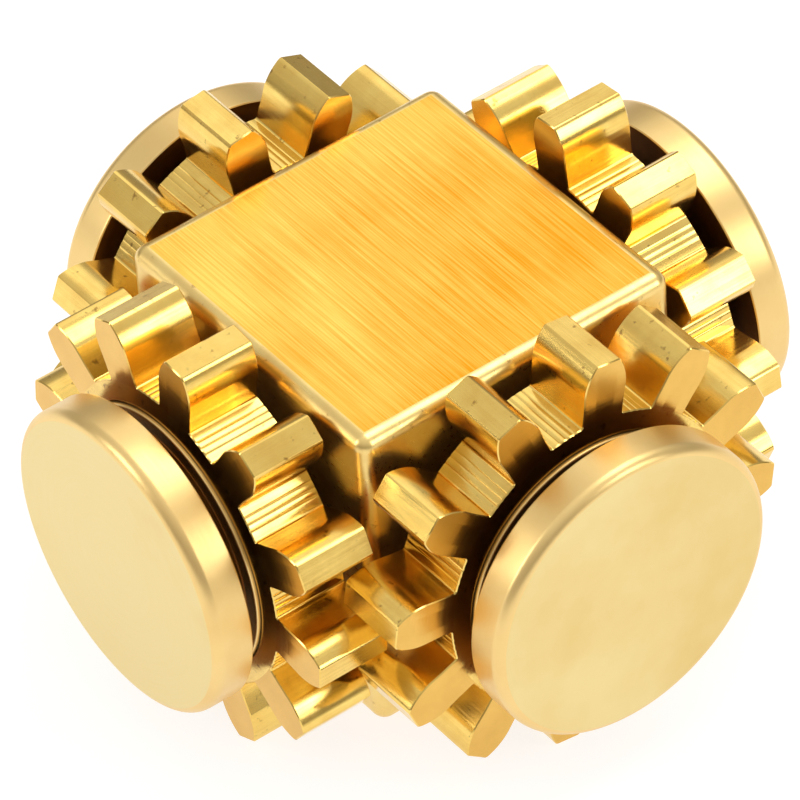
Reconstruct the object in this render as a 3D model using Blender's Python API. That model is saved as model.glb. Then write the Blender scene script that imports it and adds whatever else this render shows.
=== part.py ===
"""Geared fidget cube: a brass block with four meshing gears, each on its own ball bearing.

Every side of the block carries the same stack along its own axis, from the block outwards:
spacer, gear with a ball bearing in its bore, retaining ring, and a finger cap whose stem passes
through the bearing.  A threaded stud draws the cap, the inner race and the spacer onto
the block, so those pieces stand still while the gear turns round them.  The teeth of neighbouring
gears interleave at the block's upright corners, so all four gears turn together.

Lengths are in millimetres and become metres when a mesh is made.  +Z is up, and the origin is the
centre of the block.
"""

import math

import bmesh
import bpy
from mathutils import Matrix, Vector

MM = 0.001

# Block
CUBE_SIDE = 20.0
CUBE_FILLET = 0.8
CUBE_FILLET_STEPS = 3

# Gears
TEETH = 12                  # even, so that opposite corners mesh alike
GEAR_GAP = 0.8              # from the block's side to the gear
MESH_DEPTH = 1.6            # how far a tooth tip passes its neighbour's inner face
ROOT_CLEARANCE = 2.0        # from the neighbour's inner face down to the root circle
BACKLASH = 0.15             # free play between two meshing flanks
TIP_LAND = 1.48             # flat on the end of a tooth
SHOULDER_DROP = 0.2         # the flank starts to round this far inside the mesh plane
WAIST_CUT = 0.05            # slight hollow of the flank above the root
ROOT_FILLET = 0.14
FLANK_STEPS = 3
REST_TURN = -8.75           # degrees that the gears stand away from the symmetric position

# Ball bearing, quarter-inch bore
BEARING_BORE = 6.35
BEARING_DIAMETER = 12.7
BEARING_WIDTH = 3.175
BALL_DIAMETER = 1.5875
BALLS = 10
BALL_GAP = 0.2
RACE_LAND = 0.7125          # from the ball circle to the shoulder of either race
CAGE_HALF_WALL = 0.35
CAGE_BASE = 0.5
CAGE_BITE = 0.2             # the balls sit this deep in the cage's base
CAGE_REACH = 0.4            # the prongs pass the ball centres by this much

# How the stack fits together
SEAT_GAP = 0.3              # between pieces that seat on or fit round each other
FLANGE = 0.4                # lip at the gear's inner face that stops the outer race
RING_RECESS = 0.475         # depth of the recess that takes the retaining ring
RING_LAP = 1.23             # the ring is wider than the outer race by this much
RING_CHAMFER = 0.15
RING_PROUD = 0.2            # the ring stands this far above the boss round it
BOSS_INSET = 0.32           # from the root circle in to the boss on the gear's face
BOSS_HEIGHT = 0.2
CAP_CLEARANCE = 1.05        # between the turning ring and the fixed cap
NECK_OVERLAP = 0.25         # the cap's neck covers the inner race by this much past its shoulder

# Finger caps
CAP_RADIUS = 8.75
CAP_THICKNESS = 2.35
CAP_ROUND = 0.8
CAP_BACK_EDGE = 0.15
CAP_FLOOR = 1.35            # brass left over the stud's hole

# Studs
STUD_DIAMETER = 3.0
STUD_IN_CUBE = 4.7
SOCKET_ACROSS = 1.5
SOCKET_DEPTH = 1.2
STUD_CHAMFER = 0.3

# Roundness
WIDE_SEGMENTS = 30
RACE_SEGMENTS = 20
NARROW_SEGMENTS = 14
BALL_SEGMENTS = 6
BALL_RINGS = 4
SMOOTH_ANGLE = 35.0

# Places along a side's axis, measured from the block's centre
cube_half = CUBE_SIDE / 2
gear_inner = cube_half + GEAR_GAP
bearing_start = gear_inner + FLANGE + SEAT_GAP
bearing_end = bearing_start + BEARING_WIDTH
bearing_middle = (bearing_start + bearing_end) / 2
gear_width = FLANGE + SEAT_GAP + BEARING_WIDTH + RING_RECESS
gear_outer = gear_inner + gear_width
ring_base = bearing_end + SEAT_GAP
ring_top = gear_outer + BOSS_HEIGHT + RING_PROUD
cap_back = ring_top + CAP_CLEARANCE
cap_face = cap_back + CAP_THICKNESS
stud_start = cube_half - STUD_IN_CUBE
stud_end = cap_face - CAP_FLOOR - SEAT_GAP

# Radii about a side's axis
tip_radius = gear_inner + MESH_DEPTH
root_radius = gear_inner - ROOT_CLEARANCE
tooth_half = math.pi * gear_inner / (2 * TEETH) - BACKLASH / 2
bore_radius = BEARING_BORE / 2
race_radius = BEARING_DIAMETER / 2
ball_circle = (bore_radius + race_radius) / 2
ball_radius = BALL_DIAMETER / 2
inner_land = ball_circle - RACE_LAND
outer_land = ball_circle + RACE_LAND
seat_radius = race_radius + SEAT_GAP
ring_radius = race_radius + RING_LAP
recess_radius = ring_radius + SEAT_GAP
boss_radius = root_radius - BOSS_INSET
stem_radius = bore_radius - SEAT_GAP
stud_radius = STUD_DIAMETER / 2
thread_radius = stud_radius + SEAT_GAP

# The four sides, counter-clockwise seen from above
SIDES = ["east", "north", "west", "south"]


def clear_scene():
    """Remove every object that the file holds."""
    for item in list(bpy.data.objects):
        bpy.data.objects.remove(item, do_unlink=True)


def make_material(name, colour, roughness, metallic):
    """Return a Principled material with one plain finish."""
    material = bpy.data.materials.new(name)
    material.use_nodes = True
    shader = material.node_tree.nodes["Principled BSDF"]
    shader.inputs["Base Color"].default_value = (*colour, 1.0)
    shader.inputs["Roughness"].default_value = roughness
    shader.inputs["Metallic"].default_value = metallic
    return material


def finish_mesh(mesh_data, name):
    """Turn a bmesh in millimetres into a smooth-shaded mesh in metres."""
    bmesh.ops.scale(mesh_data, vec=(MM, MM, MM), verts=mesh_data.verts)
    mesh = bpy.data.meshes.new(name)
    mesh_data.to_mesh(mesh)
    mesh_data.free()
    mesh.shade_smooth()
    mesh.set_sharp_from_angle(angle=math.radians(SMOOTH_ANGLE))
    return mesh


def add_object(name, mesh, material=None, parent=None, along=0.0, turn=0.0):
    """Place a mesh at a distance along its side's axis, turned about that axis in degrees."""
    item = bpy.data.objects.new(name, mesh)
    bpy.context.scene.collection.objects.link(item)
    item.parent = parent
    item.location = (along * MM, 0.0, 0.0)
    item.rotation_euler = (math.radians(turn), 0.0, 0.0)
    if material:
        mesh.materials.append(material)
    return item


def add_cutter(name, mesh, parent=None, along=0.0):
    """Place a mesh that only shapes its neighbour."""
    cutter = add_object(name, mesh, None, parent, along)
    cutter.hide_render = True
    cutter.display_type = "WIRE"
    return cutter


def combine(item, other, operation="DIFFERENCE"):
    """Cut one object out of another, or join it on."""
    boolean = item.modifiers.new(operation.lower() + "_" + other.name, "BOOLEAN")
    boolean.operation = operation
    boolean.solver = "EXACT"
    boolean.object = other


def turned(name, profile, segments, closed=True):
    """Spin a profile of (along, radius) points about the X axis into one solid.

    A closed profile makes a ring.  An open one starts and ends on the axis and makes a solid.
    """
    mesh_data = bmesh.new()
    points = [mesh_data.verts.new((along, radius, 0.0)) for along, radius in profile]
    edges = [mesh_data.edges.new(pair) for pair in zip(points, points[1:])]
    if closed:
        edges.append(mesh_data.edges.new((points[-1], points[0])))
    bmesh.ops.spin(
        mesh_data, geom=points + edges, cent=(0, 0, 0), axis=(1, 0, 0), dvec=(0, 0, 0),
        angle=math.tau, steps=segments, use_merge=True,
    )
    bmesh.ops.remove_doubles(mesh_data, verts=mesh_data.verts, dist=0.0001)
    bmesh.ops.recalc_face_normals(mesh_data, faces=mesh_data.faces)
    return finish_mesh(mesh_data, name)


def arc(centre, radius, start, end, steps):
    """Points of a circular arc, with the angles in degrees from the first axis."""
    points = []
    for step in range(steps + 1):
        angle = math.radians(start + (end - start) * step / steps)
        points.append((centre[0] + radius * math.cos(angle), centre[1] + radius * math.sin(angle)))
    return points


def tooth_flank():
    """One side of a tooth from the tip to the root, as (out from the axis, half thickness)."""
    tip_half = TIP_LAND / 2
    shoulder = gear_inner - SHOULDER_DROP
    tip_out = math.sqrt(tip_radius**2 - tip_half**2)
    rise = tip_out - shoulder
    taper = tooth_half - tip_half
    flank_radius = (rise**2 + taper**2) / (2 * taper)
    sweep = math.degrees(math.asin(rise / flank_radius))
    centre = (shoulder, tooth_half - flank_radius)
    points = arc(centre, flank_radius, 90.0 - sweep, 90.0, FLANK_STEPS)
    waist = tooth_half - WAIST_CUT
    waist_out = (root_radius + shoulder) / 2
    foot = math.sqrt(root_radius**2 - (waist + ROOT_FILLET)**2)
    points.append((waist_out, waist))
    points.append((foot + ROOT_FILLET, waist))
    points.append((foot, waist + ROOT_FILLET))
    return points


def gear_outline():
    """The gear's outline in the plane across its axis, counter-clockwise."""
    flank = tooth_flank()
    tooth = [(out, -half) for out, half in reversed(flank)] + flank
    outline = []
    for index in range(TEETH):
        angle = math.tau * index / TEETH
        cosine, sine = math.cos(angle), math.sin(angle)
        for out, aside in tooth:
            outline.append((out * cosine - aside * sine, out * sine + aside * cosine))
    return outline


def gear_blank():
    """The toothed body without its bore."""
    mesh_data = bmesh.new()
    base = [mesh_data.verts.new((0.0, y, z)) for y, z in gear_outline()]
    face = mesh_data.faces.new(base)
    grown = bmesh.ops.extrude_face_region(mesh_data, geom=[face])
    moved = [item for item in grown["geom"] if isinstance(item, bmesh.types.BMVert)]
    bmesh.ops.translate(mesh_data, vec=(gear_width, 0, 0), verts=moved)
    bmesh.ops.recalc_face_normals(mesh_data, faces=mesh_data.faces)
    return finish_mesh(mesh_data, "gear")


def gear_boss():
    """The low round boss on a gear's outer face, sunk into the blank so that the two join."""
    foot = gear_width - RING_RECESS / 2
    top = gear_width + BOSS_HEIGHT
    profile = [(foot, 0.0), (foot, boss_radius), (top, boss_radius), (top, 0.0)]
    return turned("gear_boss", profile, WIDE_SEGMENTS, closed=False)


def gear_bore():
    """What is bored out of a gear: the lip's hole, the bearing's seat and the ring's recess."""
    overshoot = 1.0
    recess_floor = gear_width - RING_RECESS
    return turned(
        "gear_bore",
        [
            (-overshoot, 0.0),
            (-overshoot, outer_land),
            (FLANGE, outer_land),
            (FLANGE, seat_radius),
            (recess_floor, seat_radius),
            (recess_floor, recess_radius),
            (gear_width + overshoot, recess_radius),
            (gear_width + overshoot, 0.0),
        ],
        WIDE_SEGMENTS,
        closed=False,
    )


def retaining_ring():
    """The flat ring, recessed in the gear's face, that holds the outer race in its seat."""
    top = ring_top - ring_base
    return turned(
        "retaining_ring",
        [
            (0.0, outer_land),
            (0.0, ring_radius),
            (top - RING_CHAMFER, ring_radius),
            (top, ring_radius - RING_CHAMFER),
            (top, outer_land),
        ],
        WIDE_SEGMENTS,
    )


def race(name, back, land, side):
    """A bearing race whose ball track bulges to one side of its land (+1 out, -1 in)."""
    half = BEARING_WIDTH / 2
    track_radius = ball_radius + BALL_GAP
    half_angle = math.degrees(math.acos(RACE_LAND / track_radius))
    facing = 90.0 * side
    track = arc((half, ball_circle), track_radius, facing + half_angle, facing - half_angle, 4)
    if side < 0:
        track.reverse()
    profile = [(0.0, back), (0.0, land), *track, (BEARING_WIDTH, land), (BEARING_WIDTH, back)]
    return turned(name, profile, RACE_SEGMENTS)


def ball_set():
    """All the balls of one bearing, as spheres on the ball circle."""
    mesh_data = bmesh.new()
    for index in range(BALLS):
        angle = math.tau * index / BALLS
        place = Vector((0.0, ball_circle * math.cos(angle), ball_circle * math.sin(angle)))
        bmesh.ops.create_uvsphere(
            mesh_data, u_segments=BALL_SEGMENTS, v_segments=BALL_RINGS, radius=ball_radius,
            matrix=Matrix.Translation(place),
        )
    return finish_mesh(mesh_data, "balls")


def crown_cage():
    """A crown-shaped ring that the balls sit in, with a prong between each pair of them."""
    inside = ball_circle - CAGE_HALF_WALL
    outside = ball_circle + CAGE_HALF_WALL
    pocket = math.asin((ball_radius + BALL_GAP) / ball_circle)
    shelf = CAGE_BITE - ball_radius
    back = shelf - CAGE_BASE
    columns = []
    for index in range(BALLS):
        ball_angle = math.tau * index / BALLS
        next_angle = math.tau * (index + 1) / BALLS
        columns.append((ball_angle + pocket, True))
        columns.append((next_angle - pocket, False))
    mesh_data = bmesh.new()

    def corner(along, radius, angle):
        return mesh_data.verts.new((along, radius * math.cos(angle), radius * math.sin(angle)))

    rings = []
    for angle, _ in columns:
        rings.append([corner(along, radius, angle) for along, radius in
                      ((back, inside), (back, outside), (shelf, outside), (shelf, inside))])
    for index, (_, prong) in enumerate(columns):
        here, there = rings[index], rings[(index + 1) % len(rings)]
        for side in range(4):
            following = (side + 1) % 4
            if side == 2 and prong:
                continue
            mesh_data.faces.new((here[side], here[following], there[following], there[side]))
        if prong:
            floor = [here[2], here[3], there[3], there[2]]
            top = [mesh_data.verts.new((CAGE_REACH, v.co.y, v.co.z)) for v in floor]
            for side in range(4):
                following = (side + 1) % 4
                mesh_data.faces.new((floor[side], floor[following], top[following], top[side]))
            mesh_data.faces.new(top)
    bmesh.ops.recalc_face_normals(mesh_data, faces=mesh_data.faces)
    return finish_mesh(mesh_data, "cage")


def spacer():
    """The washer that keeps the inner race off the block."""
    length = bearing_start - SEAT_GAP - (cube_half + SEAT_GAP)
    outside = inner_land + NECK_OVERLAP
    return turned(
        "spacer",
        [(0.0, bore_radius), (0.0, outside), (length, outside), (length, bore_radius)],
        RACE_SEGMENTS,
    )


def finger_cap():
    """The mushroom cap: stem through the bearing, neck on its inner race, and the round pad."""
    start = cube_half + SEAT_GAP
    neck = bearing_end + SEAT_GAP - start
    back = cap_back - start
    face = cap_face - start
    hole = face - CAP_FLOOR
    rim = arc((face - CAP_ROUND, CAP_RADIUS - CAP_ROUND), CAP_ROUND, 90.0, 0.0, 4)
    profile = [
        (hole, 0.0),
        (hole, thread_radius),
        (0.0, thread_radius),
        (0.0, stem_radius),
        (neck, stem_radius),
        (neck, inner_land + NECK_OVERLAP),
        (back, inner_land + NECK_OVERLAP),
        (back, CAP_RADIUS - CAP_BACK_EDGE),
        (back + CAP_BACK_EDGE, CAP_RADIUS),
        *rim,
        (face, 0.0),
    ]
    return turned("finger_cap", profile, WIDE_SEGMENTS, closed=False)


def stud_body():
    """A headless screw, chamfered at both ends."""
    length = stud_end - stud_start
    return turned(
        "stud",
        [
            (0.0, 0.0),
            (0.0, stud_radius - STUD_CHAMFER),
            (STUD_CHAMFER, stud_radius),
            (length - STUD_CHAMFER, stud_radius),
            (length, stud_radius - STUD_CHAMFER),
            (length, 0.0),
        ],
        NARROW_SEGMENTS,
        closed=False,
    )


def hex_socket():
    """What is cut from a stud's outer end for the hex key."""
    mesh_data = bmesh.new()
    radius = SOCKET_ACROSS / math.sqrt(3)
    lie_along_axis = Matrix.Rotation(math.radians(90), 4, "Y")
    bmesh.ops.create_cone(
        mesh_data, cap_ends=True, segments=6, radius1=radius, radius2=radius,
        depth=2 * SOCKET_DEPTH, matrix=lie_along_axis,
    )
    return finish_mesh(mesh_data, "hex_socket")


def stud_hole():
    """What is drilled out of the block for one stud, from its bottom outwards."""
    overshoot = 1.0
    depth = STUD_IN_CUBE + SEAT_GAP + overshoot
    return turned(
        "stud_hole",
        [(0.0, 0.0), (0.0, thread_radius), (depth, thread_radius), (depth, 0.0)],
        NARROW_SEGMENTS,
        closed=False,
    )


def add_block(brass):
    """The centre block with rounded edges."""
    mesh_data = bmesh.new()
    bmesh.ops.create_cube(mesh_data, size=CUBE_SIDE)
    block = add_object("centre_block", finish_mesh(mesh_data, "centre_block"), brass)
    bevel = block.modifiers.new("edge_fillet", "BEVEL")
    bevel.width = CUBE_FILLET * MM
    bevel.segments = CUBE_FILLET_STEPS
    return block


def add_side(index, label, block, finishes):
    """Build everything that one side of the block carries."""
    axis = bpy.data.objects.new("axis_" + label, None)
    bpy.context.scene.collection.objects.link(axis)
    axis.rotation_euler = (0.0, 0.0, math.radians(90.0 * index))
    turn = REST_TURN if index % 2 == 0 else 180.0 / TEETH - REST_TURN
    brass, steel, cage_metal = finishes["brass"], finishes["steel"], finishes["cage"]

    gear = add_object("gear_" + label, gear_blank(), brass, axis, gear_inner, turn)
    combine(gear, add_cutter("boss_" + label, gear_boss(), axis, gear_inner), "UNION")
    combine(gear, add_cutter("bore_cutter_" + label, gear_bore(), axis, gear_inner))
    add_object("retaining_ring_" + label, retaining_ring(), brass, axis, ring_base, turn)
    outer = race("outer_race", race_radius, outer_land, 1)
    add_object("outer_race_" + label, outer, steel, axis, bearing_start, turn)
    cage = add_object("ball_cage_" + label, crown_cage(), cage_metal, axis, bearing_middle)
    combine(cage, add_cutter("balls_" + label, ball_set(), axis, bearing_middle), "UNION")
    inner = race("inner_race", bore_radius, inner_land, -1)
    add_object("inner_race_" + label, inner, steel, axis, bearing_start)
    add_object("spacer_" + label, spacer(), brass, axis, cube_half + SEAT_GAP)
    add_object("finger_cap_" + label, finger_cap(), finishes["satin"], axis, cube_half + SEAT_GAP)
    stud = add_object("stud_" + label, stud_body(), steel, axis, stud_start)
    combine(stud, add_cutter("socket_cutter_" + label, hex_socket(), axis, stud_end))
    combine(block, add_cutter("hole_cutter_" + label, stud_hole(), axis, stud_start - SEAT_GAP))


def main():
    """Build the whole cube."""
    clear_scene()
    finishes = {
        "brass": make_material("polished_brass", (0.88, 0.62, 0.20), 0.12, 1.0),
        "satin": make_material("satin_brass", (0.90, 0.70, 0.32), 0.30, 1.0),
        "brushed": make_material("brushed_brass", (0.92, 0.60, 0.16), 0.34, 1.0),
        "steel": make_material("bearing_steel", (0.62, 0.63, 0.65), 0.18, 1.0),
        "cage": make_material("cage_steel", (0.45, 0.45, 0.46), 0.30, 1.0),
    }
    block = add_block(finishes["brushed"])
    for index, label in enumerate(SIDES):
        add_side(index, label, block, finishes)


main()
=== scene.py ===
"""Looks of the geared fidget cube: finely made pieces, metal finishes and a light-tent studio.

Every piece is built about the X axis, as it would lie in the lathe, and is then turned to its own
side of the block.  Lengths in the classes are in millimetres; meshes are in metres.
"""

from __future__ import annotations

import logging
import math
from abc import ABC, abstractmethod
from dataclasses import dataclass, field
from enum import Enum
from typing import Any, ClassVar

import bmesh
import bpy
from mathutils import Matrix, Vector


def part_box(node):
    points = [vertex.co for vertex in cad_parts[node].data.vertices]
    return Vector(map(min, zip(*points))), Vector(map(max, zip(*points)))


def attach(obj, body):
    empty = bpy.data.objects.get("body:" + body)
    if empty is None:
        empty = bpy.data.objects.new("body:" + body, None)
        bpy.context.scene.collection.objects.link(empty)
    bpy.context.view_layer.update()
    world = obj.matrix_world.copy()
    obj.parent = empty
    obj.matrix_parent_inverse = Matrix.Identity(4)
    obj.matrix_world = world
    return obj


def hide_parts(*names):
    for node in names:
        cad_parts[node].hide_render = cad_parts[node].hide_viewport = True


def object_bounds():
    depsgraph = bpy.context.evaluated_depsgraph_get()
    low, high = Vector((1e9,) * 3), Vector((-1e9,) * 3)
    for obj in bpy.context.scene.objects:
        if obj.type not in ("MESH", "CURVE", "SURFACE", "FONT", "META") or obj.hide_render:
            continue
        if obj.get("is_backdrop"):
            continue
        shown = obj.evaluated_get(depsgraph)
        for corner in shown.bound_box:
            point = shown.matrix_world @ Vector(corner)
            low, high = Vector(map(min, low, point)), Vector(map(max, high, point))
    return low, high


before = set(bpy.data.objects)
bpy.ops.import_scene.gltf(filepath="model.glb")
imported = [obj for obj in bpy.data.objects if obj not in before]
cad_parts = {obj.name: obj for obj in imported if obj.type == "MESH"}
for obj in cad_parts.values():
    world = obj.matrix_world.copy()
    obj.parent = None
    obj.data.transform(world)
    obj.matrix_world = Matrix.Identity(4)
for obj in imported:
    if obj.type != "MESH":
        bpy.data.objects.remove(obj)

LOG = logging.getLogger("fidget_cube")
MM = 0.001
STOCK = "stock"             # attribute that keeps a point's place in the lathe, before placing
FACED = "faced"             # attribute that marks the faces cut square to the axis
SHARP_ANGLE = 28.0          # degrees between two faces, beyond which their edge stays crisp
WELD = 0.000001             # points of a pattern closer than this, in metres, become one
SEAM = 0.0001               # points of a turned shape closer than this, in millimetres, become one
SQUARE = 0.99               # cosine beyond which a face counts as cut square to an axis
OUTERMOST = 0.999           # share of the full reach beyond which a face is the outer flat
SPECK_SIZE = 0.55           # size of the dark spots of oxide, in millimetres
SPECK_COLOUR = "#6E4315"    # colour of those spots
TARNISH_ROUGHNESS = 0.12    # what full tarnish adds to the roughness

Point = tuple[float, float]


# ---------------------------------------------------------------- small helpers


def linear(hex_colour: str) -> tuple[float, float, float, float]:
    """Turn an sRGB hex colour into linear light.

    Args:
        hex_colour: Colour as "#RRGGBB".

    Returns:
        Red, green, blue and an alpha of 1.
    """
    channels = []
    for start in (1, 3, 5):
        value = int(hex_colour[start:start + 2], 16) / 255
        channels.append(value / 12.92 if value <= 0.04045 else ((value + 0.055) / 1.055) ** 2.4)
    return (channels[0], channels[1], channels[2], 1.0)


def add_node(
    tree: bpy.types.NodeTree, kind: str, inputs: dict[Any, Any] | None = None, **settings: Any
) -> bpy.types.Node:
    """Add one node with its settings, and fill or link its inputs.

    Args:
        tree: Tree that gets the node.
        kind: Blender's type name for the node.
        inputs: Value or output socket for each input, by name or number.
        **settings: Properties of the node itself.

    Returns:
        The new node.
    """
    node = tree.nodes.new(kind)
    for name, value in settings.items():
        setattr(node, name, value)
    for key, value in (inputs or {}).items():
        if isinstance(value, bpy.types.NodeSocket):
            tree.links.new(value, node.inputs[key])
        else:
            node.inputs[key].default_value = value
    return node


def arc(centre: Point, radius: float, start: float, end: float, steps: int) -> list[Point]:
    """Work out the points of a circular arc.

    Args:
        centre: Centre of the arc.
        radius: Its radius.
        start: First angle in degrees, from the first axis.
        end: Last angle in degrees.
        steps: Number of straight steps.

    Returns:
        The points, from start to end.
    """
    points = []
    for step in range(steps + 1):
        angle = math.radians(start + (end - start) * step / steps)
        points.append((centre[0] + radius * math.cos(angle), centre[1] + radius * math.sin(angle)))
    return points


def mesh_in_metres(shape: bmesh.types.BMesh, name: str) -> bpy.types.Mesh:
    """Turn a shape in millimetres into a mesh in metres with crisp edges and smooth curves.

    Args:
        shape: The shape, which is freed.
        name: Name of the mesh.

    Returns:
        The new mesh.
    """
    bmesh.ops.scale(shape, vec=(MM, MM, MM), verts=shape.verts)
    mesh = bpy.data.meshes.new(name)
    shape.to_mesh(mesh)
    shape.free()
    mesh.shade_smooth()
    mesh.set_sharp_from_angle(angle=math.radians(SHARP_ANGLE))
    return mesh


def turned(name: str, profile: list[Point], segments: int, closed: bool = True) -> bpy.types.Mesh:
    """Turn a profile about the X axis.

    Args:
        name: Name of the mesh.
        profile: Points as (along, radius); an open profile starts and ends on the axis.
        segments: Steps in a full turn.
        closed: Whether the last point joins the first, which makes a ring.

    Returns:
        A closed mesh.
    """
    shape = bmesh.new()
    points = [shape.verts.new((along, radius, 0.0)) for along, radius in profile]
    edges = [shape.edges.new(pair) for pair in zip(points, points[1:])]
    if closed:
        edges.append(shape.edges.new((points[-1], points[0])))
    bmesh.ops.spin(
        shape, geom=points + edges, cent=(0, 0, 0), axis=(1, 0, 0), dvec=(0, 0, 0),
        angle=math.tau, steps=segments, use_merge=True,
    )
    bmesh.ops.remove_doubles(shape, verts=shape.verts, dist=SEAM)
    bmesh.ops.recalc_face_normals(shape, faces=shape.faces)
    return mesh_in_metres(shape, name)


def add_object(name: str, mesh: bpy.types.Mesh) -> bpy.types.Object:
    """Put a mesh into the scene as an object at the origin.

    Args:
        name: Name of the object.
        mesh: Its mesh.

    Returns:
        The new object.
    """
    item = bpy.data.objects.new(name, mesh)
    bpy.context.scene.collection.objects.link(item)
    return item


def settle(item: bpy.types.Object) -> None:
    """Turn an object with live modifiers into one plain mesh.

    Args:
        item: The object, which keeps its name and loses its modifiers.
    """
    graph = bpy.context.evaluated_depsgraph_get()
    graph.update()
    result = bpy.data.meshes.new_from_object(
        item.evaluated_get(graph), preserve_all_data_layers=True, depsgraph=graph
    )
    old = item.data
    item.modifiers.clear()
    item.data = result
    bpy.data.meshes.remove(old)
    result.name = item.name


def cut(item: bpy.types.Object, cutter: bpy.types.Mesh) -> None:
    """Cut a mesh out of an object for good.

    Args:
        item: The object to cut.
        cutter: What is cut away, in the same frame; it is removed afterwards.
    """
    tool = add_object("cutter", cutter)
    boolean = item.modifiers.new("cut", "BOOLEAN")
    boolean.operation = "DIFFERENCE"
    boolean.solver = "EXACT"
    boolean.object = tool
    settle(item)
    bpy.data.objects.remove(tool, do_unlink=True)
    bpy.data.meshes.remove(cutter)


def even_shading(item: bpy.types.Object) -> None:
    """Keep flats flat beside their rounded edges, by weighting normals with face area.

    Args:
        item: The object, whose modifiers are settled.
    """
    item.data.set_sharp_from_angle(angle=math.radians(SHARP_ANGLE))
    weighted = item.modifiers.new("even_shading", "WEIGHTED_NORMAL")
    weighted.keep_sharp = True
    weighted.weight = 100
    settle(item)


# ---------------------------------------------------------------- sides and the frame


class Side(Enum):
    """The block's four geared sides, counter-clockwise seen from above."""

    EAST = 0
    NORTH = 1
    WEST = 2
    SOUTH = 3

    @property
    def label(self) -> str:
        """Name of the side as the nodes and bodies spell it."""
        return self.name.lower()

    @property
    def facing(self) -> Matrix:
        """Rotation that points the X axis out of this side."""
        return Matrix.Rotation(math.radians(90.0 * self.value), 4, "Z")


@dataclass(frozen=True)
class Span:
    """Where a piece starts and ends along its side's axis, in millimetres from the centre."""

    start: float
    end: float

    @classmethod
    def of_node(cls, node: str) -> Span:
        """Read a span along X from a node of the frame.

        Args:
            node: Name of a node on the east side.

        Returns:
            The node's span.
        """
        low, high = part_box(node)
        return cls(round(low[0] / MM, 4), round(high[0] / MM, 4))

    @property
    def length(self) -> float:
        """Distance from start to end."""
        return self.end - self.start


def hand_over(
    item: bpy.types.Object, side: Side, node: str, body: str, turn: float = 0.0
) -> None:
    """Place a finished piece and give it to the frame.

    Args:
        item: The piece, still lying along the X axis, with no modifier left.
        side: Side of the block that it belongs to.
        node: Node that it stands for.
        body: Body that carries it.
        turn: Degrees that it is turned about its own axis.
    """
    mesh = item.data
    stock = mesh.attributes.new(STOCK, "FLOAT_VECTOR", "POINT")
    places = [0.0] * (3 * len(mesh.vertices))
    mesh.vertices.foreach_get("co", places)
    stock.data.foreach_set("vector", places)
    mesh.transform(side.facing @ Matrix.Rotation(math.radians(turn), 4, "X"))
    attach(item, body)
    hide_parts(node)
    LOG.info("%s: %d faces, rides on %s", item.name, len(mesh.polygons), body)


# ---------------------------------------------------------------- finishes


class Lay(Enum):
    """Which way the tool marks of a finish run."""

    ALONG_AXIS = "along the piece's own axis"
    ROUND_AXIS = "in circles round the piece's own axis"
    ALONG_X = "straight along the block's X direction"


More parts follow.
